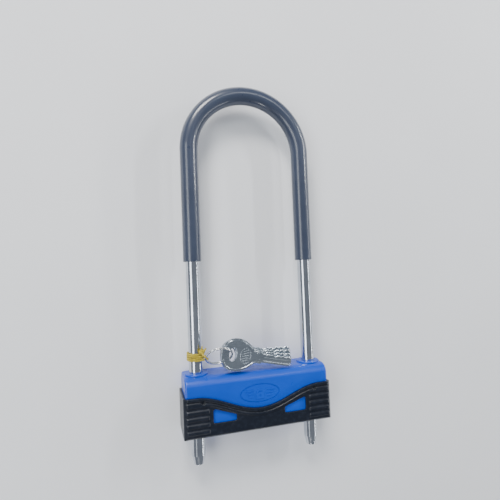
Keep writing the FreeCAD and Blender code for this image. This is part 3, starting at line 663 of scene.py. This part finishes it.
def keep_sharp(piece, degrees):
    """Marks edges over the angle as sharp, so that flat faces shade flat."""
    mesh = bmesh.new()
    mesh.from_mesh(piece.data)
    limit = math.radians(degrees)
    for edge in mesh.edges:
        edge.smooth = not (len(edge.link_faces) == 2 and edge.calc_face_angle() > limit)
    mesh.to_mesh(piece.data)
    mesh.free()


# ---- split ring and string tie ------------------------------------------------------------
RING_TILT = math.radians(46)
RING_R, WIRE_R, TURN_GAP = 11.5 * MM, 0.65 * MM, 1.2 * MM
RING_LEFT = Vector(JOINTS["key_ring_swing"]["pos_m"])
RING_AT = RING_LEFT + X * RING_R
RING_UP = Vector((0, math.cos(RING_TILT), math.sin(RING_TILT)))
RING_NORMAL = Vector((0, -math.sin(RING_TILT), math.cos(RING_TILT)))


def make_ring(material):
    """One wire wound into two turns, with the step where it changes sides."""
    start, step_width = math.radians(118), math.radians(34)
    points = []
    count = 260
    for k in range(count + 1):
        a = 4 * math.pi * k / count
        t = min(1.0, max(0.0, (a - 2 * math.pi + step_width / 2) / step_width))
        shift = (t * t * (3 - 2 * t) - 0.5) * TURN_GAP
        out = X * math.cos(a + start) + RING_UP * math.sin(a + start)
        points.append(RING_AT + out * RING_R + RING_NORMAL * shift)

    def radius(share):
        end = min(share, 1 - share) * 60
        return WIRE_R * (0.55 + 0.45 * min(1.0, end) ** 0.5)

    verts, faces = tube(points, radius, 16)
    piece = new_piece("split_ring", verts, faces, material, "key_ring")
    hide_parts("key_ring")


def rope(points, radius, lay_length, strands=3, steps=8):
    """A twisted string along a smooth path."""
    path = smooth_path(points, steps)
    rows = frames_along(path)
    lengths = [0.0]
    for a, b in zip(path, path[1:]):
        lengths.append(lengths[-1] + (b - a).length)
    parts = []
    for strand in range(strands):
        line = []
        for (point, side, up), at in zip(rows, lengths):
            a = 2 * math.pi * (at / lay_length + strand / strands)
            out = side * (0.5 * radius * math.cos(a)) + up * (0.5 * radius * math.sin(a))
            line.append(point + out)
        parts.append(tube(line, 0.56 * radius, 8))
    return merged(parts)


STRING_R, STRING_LAY, KNOT_LAY = 0.8 * MM, 3.4 * MM, 3.2 * MM
TIE_TURNS, TURN_PITCH, TURN_POINTS = 4, 1.75 * MM, 14
TIE_HUG = ROD_R + STRING_R + 0.1 * MM
TIE_AT = Vector((-LEG_X, RING_LEFT.y, AXIS_Z))
TIE_FRONT = math.atan2(RING_LEFT.z - AXIS_Z, RING_LEFT.x + LEG_X)
TIE_OUT = Vector((math.cos(TIE_FRONT), 0, math.sin(TIE_FRONT)))
TIE_SIDE = Vector((-math.sin(TIE_FRONT), 0, math.cos(TIE_FRONT)))


def step_off(out, along, side):
    """A step in mm: out from the leg towards the ring, along the leg and round it."""
    return (TIE_OUT * out + Y * along + TIE_SIDE * side) * MM


def tie_winding():
    """Turns round the leg, a little uneven."""
    points = []
    for k in range(TIE_TURNS * TURN_POINTS + 1):
        a = TIE_FRONT + 2 * math.pi * k / TURN_POINTS
        rise = (k / TURN_POINTS - TIE_TURNS / 2) * TURN_PITCH
        wobble = random.uniform(-0.12, 0.12) * MM
        out = Vector((math.cos(a), 0, math.sin(a)))
        points.append(TIE_AT + out * (TIE_HUG + abs(wobble)) + Y * (rise + wobble))
    return points


def tie_loop(first, last):
    """From the last turn round the ring's wire and back to the first turn."""
    leg, wire = TIE_AT + TIE_OUT * TIE_HUG, RING_LEFT
    return [
        last,
        leg + step_off(1.5, 3.2, 0.6),
        wire + step_off(0.6, 1.6, 1.9),
        wire + step_off(1.9, -0.4, 0.2),
        wire + step_off(0.5, -1.8, -1.8),
        leg + step_off(1.4, -2.9, -0.5),
        first,
    ]


def tie_knot(knot_at, tilt):
    """One crooked ring of the knot."""
    turn = Matrix.Rotation(math.radians(tilt), 3, TIE_SIDE)
    points = []
    for k in range(13):
        a = 2 * math.pi * k / 12
        ring = step_off(1.7 * math.cos(a), 0.6 * math.sin(2 * a), 2.2 * math.sin(a))
        points.append(knot_at + turn @ ring)
    return points


def make_tie(material):
    """Turns of string round the leg, a loop round the ring wire, a knot and two short tails."""
    random.seed(5)
    winding = tie_winding()
    parts = [
        rope(winding, STRING_R, STRING_LAY),
        rope(tie_loop(winding[0], winding[-1]), STRING_R, STRING_LAY),
    ]
    knot_at = TIE_AT + TIE_OUT * TIE_HUG + step_off(1.6, 4.2, 0)
    for tilt in (20, 80, 140):
        parts.append(rope(tie_knot(knot_at, tilt), STRING_R * 0.9, KNOT_LAY))
    tails = (
        ((0.6, 1.8, 1.0), (1.2, 3.4, 0.9), (0.8, 4.8, 0.2)),
        ((1.0, 0.4, -1.0), (1.8, 1.4, -2.2), (1.4, 2.4, -3.4)),
    )
    for tail in tails:
        line = [knot_at] + [knot_at + step_off(*place) for place in tail]
        parts.append(rope(line, STRING_R * 0.85, KNOT_LAY))
    verts, faces = merged(parts)
    piece = new_piece("knotted_string", verts, faces, material, "shackle")
    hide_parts("string_tie")


# ---- putting it together ------------------------------------------------------------------
NODE_FINISHES = {
    chrome_material: ["shackle"],
    casing_material: [
        "casing_front", "casing_back",
        "leg_guide_top_left", "leg_guide_top_right",
        "leg_guide_bottom_left", "leg_guide_bottom_right",
    ],
    zinc_material: [
        "casing_screws", "body_cover", "cover_screws", "cylinder_lock_pin", "tumbler_springs",
        "plug_clip", "cam_disc", "dust_cover_rivet", "bolt_left", "bolt_right",
        "follower_pin_left", "follower_pin_right",
    ],
    cast_material: ["lock_body"],
    brass_material: ["cylinder_housing", "cylinder_plug", "key_pins", "driver_pins"],
    flap_material: ["dust_cover"],
}


def finish_nodes():
    """Gives each CAD node that stays its material."""
    for make, names in NODE_FINISHES.items():
        material = make()
        for name in names:
            node = frame["nodes"][name]
            for slot in node.material_slots:
                slot.material = material


def add_floor():
    half, z = 3.0, -0.1 * MM  # just below the lid, so that the two don't share a plane
    corners = [(-half, -half, z), (half, -half, z), (half, half, z), (-half, half, z)]
    mesh = bpy.data.meshes.new("floor")
    mesh.from_pydata(corners, [], [(0, 1, 2, 3)])
    mesh.materials.append(floor_material())
    floor = bpy.data.objects.new("floor", mesh)
    bpy.context.scene.collection.objects.link(floor)


add_camera()
add_studio()
add_floor()
finish_nodes()
make_sleeve(vinyl_material())
softened("bumper", "bumper_skin", 0.42 * MM, 3, bumper_material(), "crossbar")
make_keys(nickel_material())
make_ring(wire_material())
make_tie(string_material())
